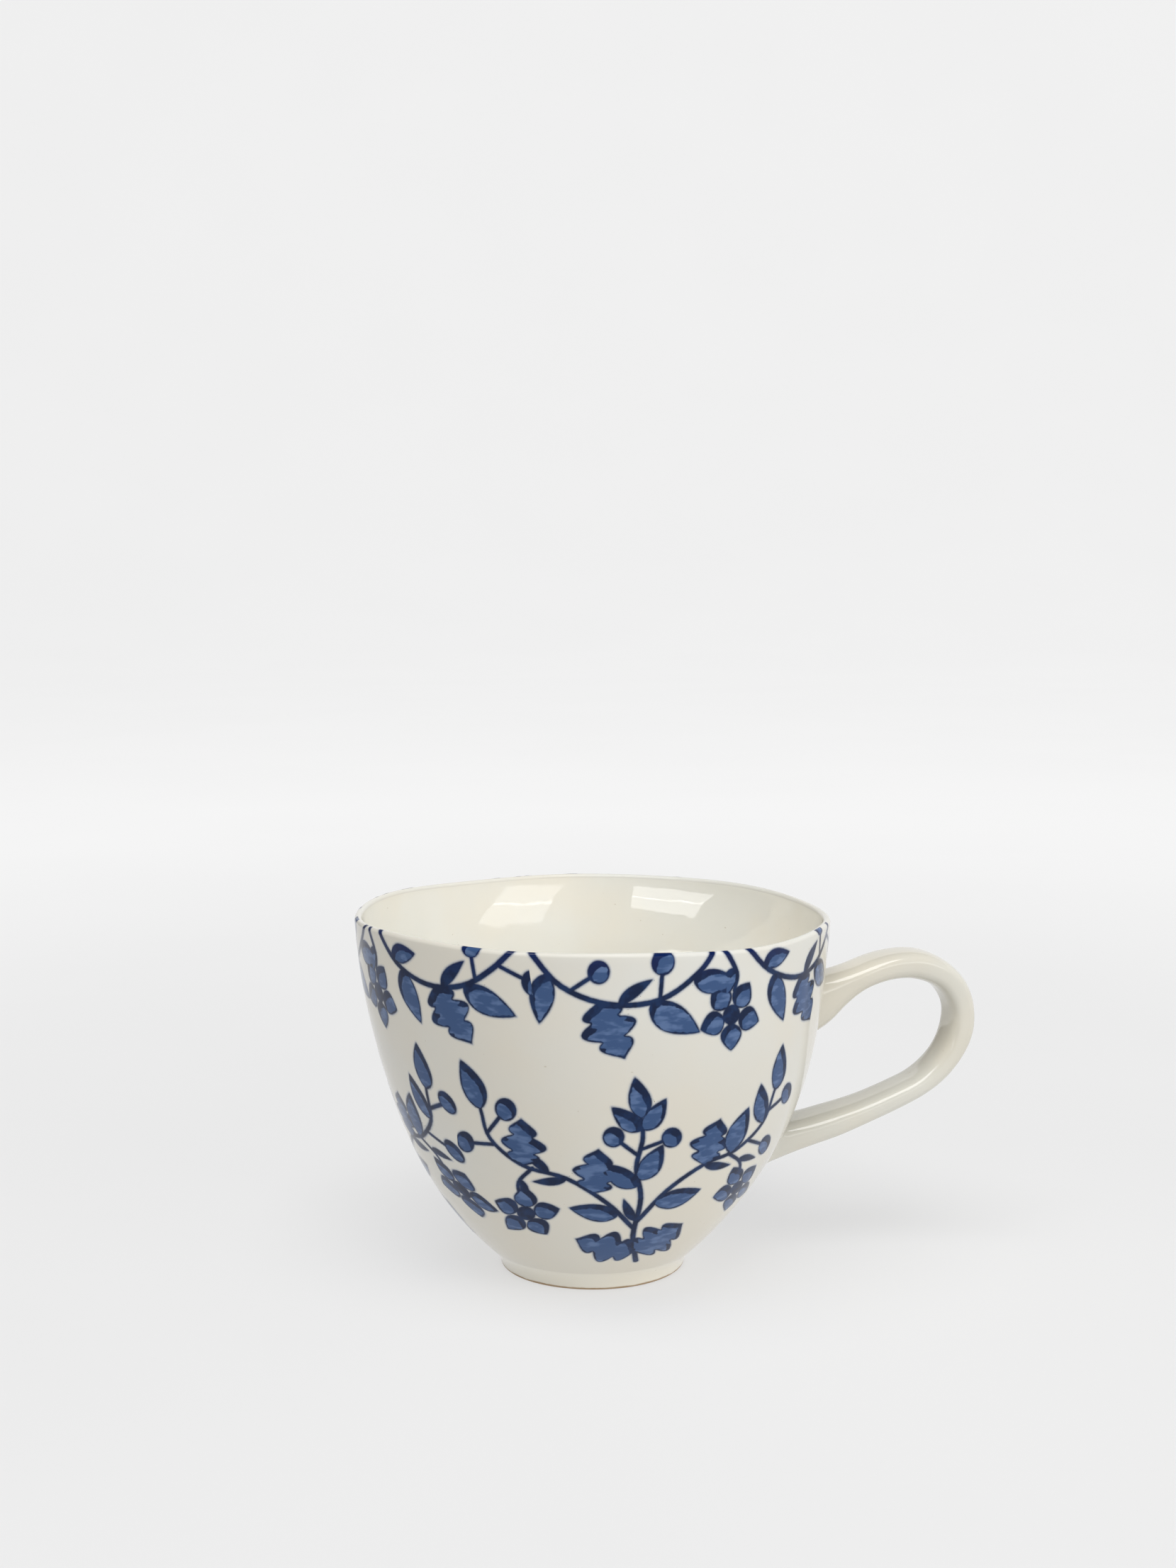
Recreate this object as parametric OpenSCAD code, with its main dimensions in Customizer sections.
// Teacup: a thrown bowl on a turned foot ring, with a strap handle stuck on at two joints.
// The origin is the centre of the foot's resting face, +Z is up and the handle lies along +X.

/* [Bowl] */
// Outer radius of the rim
rim_r = 50; // [46:0.5:54]
// Height of the rim above the table
rim_h = 76; // [72:0.5:80]
// Thickness of the wall just below the rounded lip
lip_thickness = 1.6; // [1.4:0.1:2.4]
// Thickness of the floor in the middle of the bowl
floor_thickness = 4; // [3:0.5:5]

/* [Foot ring] */
// Radius where the foot meets the bowl
foot_top_r = 22.2; // [20.6:0.1:24]
// Radius of the foot just above the table
foot_r = 19.6; // [18:0.1:20]
// Height of the foot ring
foot_h = 4.4; // [3.4:0.2:5]
// Width of the foot ring's flat underside
foot_rest_width = 2.4; // [2:0.1:3]

/* [Handle] */
// Furthest reach of the strap's centre line from the cup's axis
handle_reach = 82.3; // [78:0.5:86]
// Height of the strap's centre line at its crown
handle_crown_h = 62; // [60:0.5:64]
// Width of the strap, across the handle's plane
strap_width = 11.8; // [10:0.1:13]
// Thickness of the strap at its crown
strap_thickness = 6; // [5:0.1:7]

/* [Joints] */
// Height of the upper joint's centre on the wall
upper_joint_h = 54.4; // [53:0.2:56]
// Height of the lower joint's centre on the wall
lower_joint_h = 24.2; // [23:0.2:26]
// Height of the flared upper joint against the wall
upper_flare = 12; // [11:0.2:13]
// Height of the smoothed lower joint against the wall
lower_flare = 9; // [8:0.2:11]

/* [Hidden] */

glaze = [0.93, 0.91, 0.86];
bare_clay = [0.80, 0.76, 0.68];
revolve_facets = 96;
wall_steps = 18;
lip_steps = 6;

// Foot ring: a small bevel eases both edges of the flat that stands on the table.
foot_bevel = 0.6;
foot_rest_r = foot_r - foot_bevel;
foot_inner_r = foot_rest_r - foot_rest_width;
foot_inner_top_r = foot_inner_r - 1.2;

// A cubic Bezier curve through p[0] and p[3], pulled by p[1] and p[2].
function bezier(p, t) =
    pow(1 - t, 3) * p[0] + 3 * t * pow(1 - t, 2) * p[1]
    + 3 * t * t * (1 - t) * p[2] + pow(t, 3) * p[3];
function bezier_points(p, steps) = [for (i = [0:steps]) bezier(p, i / steps)];
function but_first(list) = [for (i = [1:len(list) - 1]) list[i]];

// The outside of the wall: leaves the foot at 45 degrees and stands almost upright at the rim.
lip_r = lip_thickness / 2;
lip_base_h = rim_h - lip_r;
outer_wall = bezier_points(
    [[foot_top_r, foot_h], [42.2, 23.3], [rim_r - 2, 47], [rim_r, lip_base_h]], wall_steps);
lip_arc = [for (i = [1:lip_steps - 1])
    let (a = 180 * i / lip_steps) [rim_r - lip_r + lip_r * cos(a), lip_base_h + lip_r * sin(a)]];
floor_h = foot_h + floor_thickness;
inner_wall = bezier_points(
    [[rim_r - lip_thickness, lip_base_h], [rim_r - 5.6, 47], [rim_r - 12, floor_h], [0, floor_h]],
    wall_steps);

// The wall's outer radius at a height.
outer_by_height = [for (p = outer_wall) [p[1], p[0]]];
function wall_r(h) = lookup(h, outer_by_height);

// The strap's centre line in the XZ plane: up from the wall, over the crown, round the outside
// and down a nearly straight lower leg. It starts and ends a little inside the wall.
root_depth = 2.5;
crown = [69.3, handle_crown_h];
outermost = [handle_reach, 50];
heel = [70.5, 34.1];
upper_root = [wall_r(upper_joint_h) - root_depth, upper_joint_h - 0.8];
lower_root = [wall_r(lower_joint_h) - root_depth, lower_joint_h - 0.3];
rise = bezier_points([upper_root, [54.5, 56.8], [60, handle_crown_h], crown], 12);
shoulder = bezier_points(
    [crown, [76.4, handle_crown_h], [handle_reach, 57], outermost], 10);
turn = bezier_points([outermost, [handle_reach, 43.4], [77.4, 37.2], heel], 10);
lower_leg = bezier_points([heel, [60, 29.4], [50, 26.4], lower_root], 12);
centre_line = concat(rise, but_first(shoulder), but_first(turn), but_first(lower_leg));
last = len(centre_line) - 1;

// The rings at which the handle ends and its joints begin.
upper_seam = 5;
lower_seam = last - 4;

// Thickness in the handle's plane and width across it, by ring along the centre line.
thickness_by_ring = [
    [0, upper_flare + 0.6], [2, upper_flare - 1], [4, upper_flare - 4.2],
    [6, strap_thickness + 0.1], [9, strap_thickness - 0.4], [12, strap_thickness],
    [16, strap_thickness + 0.1], [22, strap_thickness - 0.4], [last - 6, strap_thickness - 0.4],
    [last - 2, lower_flare - 1.8], [last, lower_flare]];
width_by_ring = [
    [0, strap_width + 3], [2, strap_width + 1.8], [5, strap_width + 0.3], [8, strap_width],
    [last - 6, strap_width + 0.6], [last - 2, strap_width + 2], [last, strap_width + 4]];

// The section of the strap is a superellipse: an oval with a flatter top and bottom.
section_sides = 24;
section_power = 0.8;
function rounded(c) = sign(c) * pow(abs(c), section_power);
function ring_tangent(i) =
    let (d = centre_line[min(i + 1, last)] - centre_line[max(i - 1, 0)]) d / norm(d);
function ring(i) =
    let (
        c = centre_line[i],
        t = ring_tangent(i),
        half_thickness = lookup(i, thickness_by_ring) / 2,
        half_width = lookup(i, width_by_ring) / 2
    )
    [for (k = [0:section_sides - 1])
        let (
            a = 360 * k / section_sides,
            across = half_width * rounded(cos(a)),
            off = half_thickness * rounded(sin(a))
        )
        [c[0] - t[1] * off, across, c[1] + t[0] * off]];

// The strap between two rings, as one closed solid.
module strap(first_ring, last_ring) {
    n = section_sides;
    rings = last_ring - first_ring;
    points = [for (i = [first_ring:last_ring]) each ring(i)];
    sides = [for (r = [0:rings - 1], k = [0:n - 1])
        let (next = (k + 1) % n)
        [r * n + k, (r + 1) * n + k, (r + 1) * n + next, r * n + next]];
    start_cap = [for (k = [0:n - 1]) k];
    end_cap = [for (k = [0:n - 1]) rings * n + n - 1 - k];
    polyhedron(points, concat([start_cap], sides, [end_cap]));
}

// Everything inside the wall's outer face, which the joints are shaped to.
module outer_form() {
    rotate_extrude($fn = revolve_facets)
        polygon(concat([[0, rim_h], [0, foot_h]], outer_wall, [[rim_r, rim_h]]));
}

module bowl() {
    color(glaze)
        rotate_extrude($fn = revolve_facets)
            polygon(concat([[0, foot_h]], outer_wall, lip_arc, inner_wall));
}

module foot_ring() {
    color(bare_clay)
        rotate_extrude($fn = revolve_facets)
            polygon([
                [foot_inner_r, 0], [foot_rest_r, 0], [foot_r, foot_bevel], [foot_top_r, foot_h],
                [foot_inner_top_r, foot_h], [foot_inner_r - foot_bevel, foot_bevel]]);
}

module handle() {
    color(glaze)
        strap(upper_seam, lower_seam);
}

module upper_handle_joint() {
    color(glaze)
        difference() {
            strap(0, upper_seam);
            outer_form();
        }
}

module lower_handle_joint() {
    color(glaze)
        difference() {
            strap(lower_seam, last);
            outer_form();
        }
}

bowl();
foot_ring();
handle();
upper_handle_joint();
lower_handle_joint();
